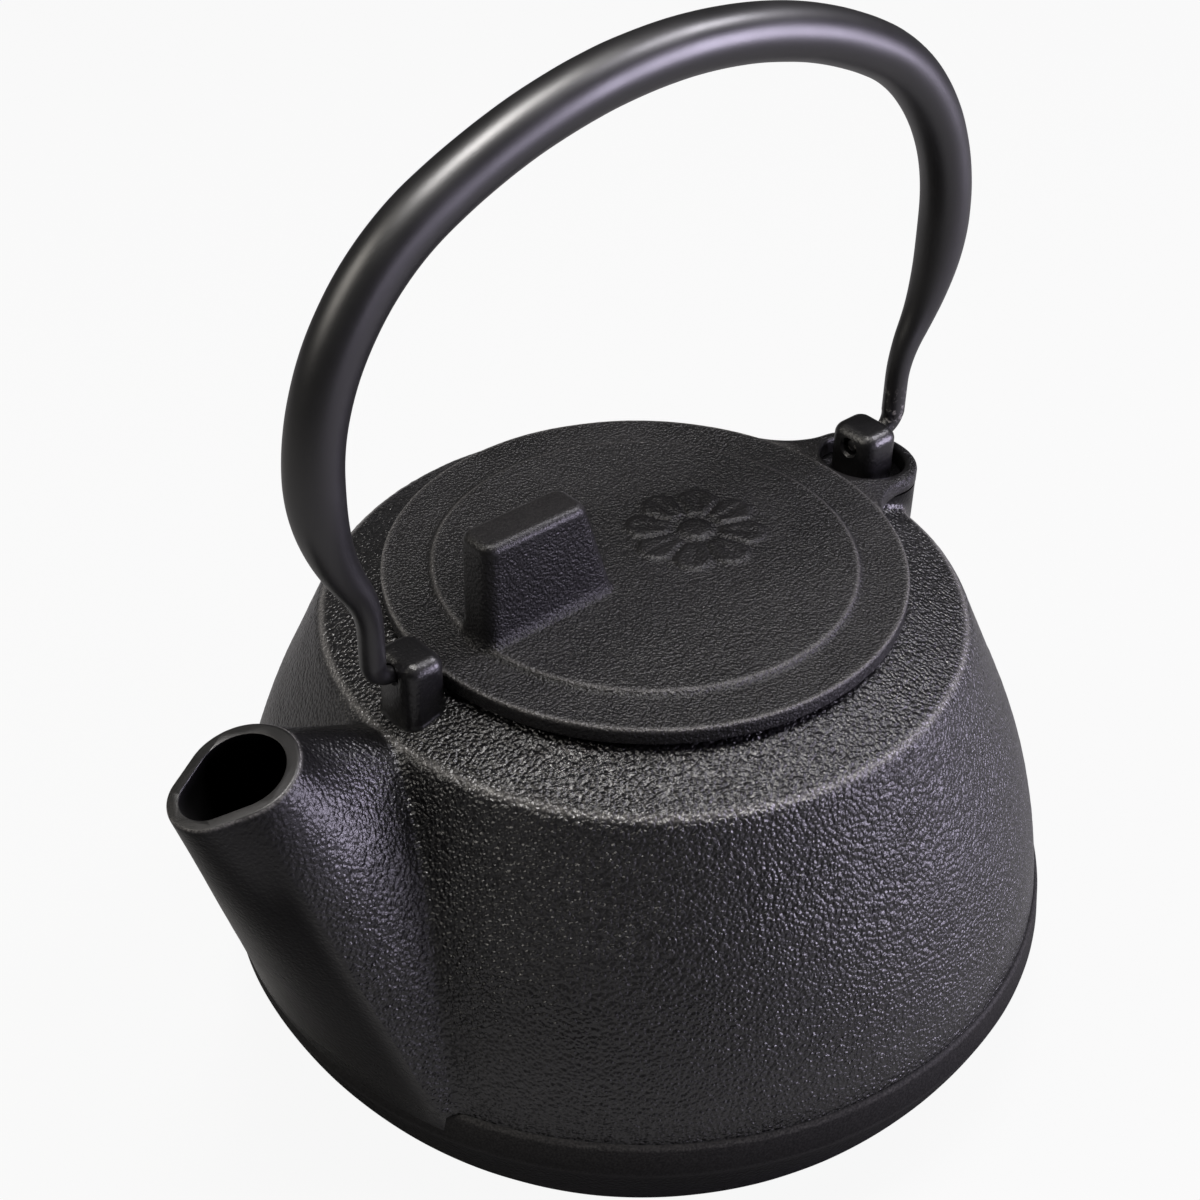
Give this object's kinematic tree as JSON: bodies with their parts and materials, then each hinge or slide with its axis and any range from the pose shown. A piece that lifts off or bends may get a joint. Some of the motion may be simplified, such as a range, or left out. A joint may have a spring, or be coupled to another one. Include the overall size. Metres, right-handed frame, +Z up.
{
  "type": "cast iron teapot",
  "caption": "Round cast iron teapot with a wedge spout, a captive lid with a fin knob, a hooked bail handle and an infuser basket.",
  "frame": {"origin": "centre of the flat underside, on the table", "axes": "+Z up along the pot's axis, the spout points along -X, the pivot line of the bail runs along X, and Y is across the pot"},
  "size_m": [0.1878, 0.168, 0.2055],
  "materials": {
    "pot_iron": "pebbled sand-cast iron under a satin black coat",
    "lid_iron": "fine-grained sand-cast iron under a satin black coat",
    "bail_black": "smooth satin black coat with small chips at the necks",
    "infuser_steel": "thin pressed stainless sheet"
  },
  "bodies": {
    "pot": {"pot_bowl": "pot_iron", "pot_side": "pot_iron", "pot_shoulder": "pot_iron", "spout": "pot_iron", "front_lug": "pot_iron", "rear_lug": "pot_iron", "infuser_rim": "infuser_steel", "infuser_wall": "infuser_steel", "infuser_floor": "infuser_steel"},
    "lid": {"lid": "lid_iron"},
    "bail": {"bail": "bail_black"}
  },
  "joints": [
    {"name": "handle_swing", "type": "hinge", "parent": "pot", "child": "bail", "pos_m": [0.0027, 0, 0.1035], "axis": [1, 0, 0], "range_deg": [-80, 80]},
    {"name": "lid_tip", "type": "hinge", "parent": "pot", "child": "lid", "pos_m": [0.07126, 0, 0.09489], "axis": [0, 1, 0], "range_deg": [0, 30]}
  ]
}
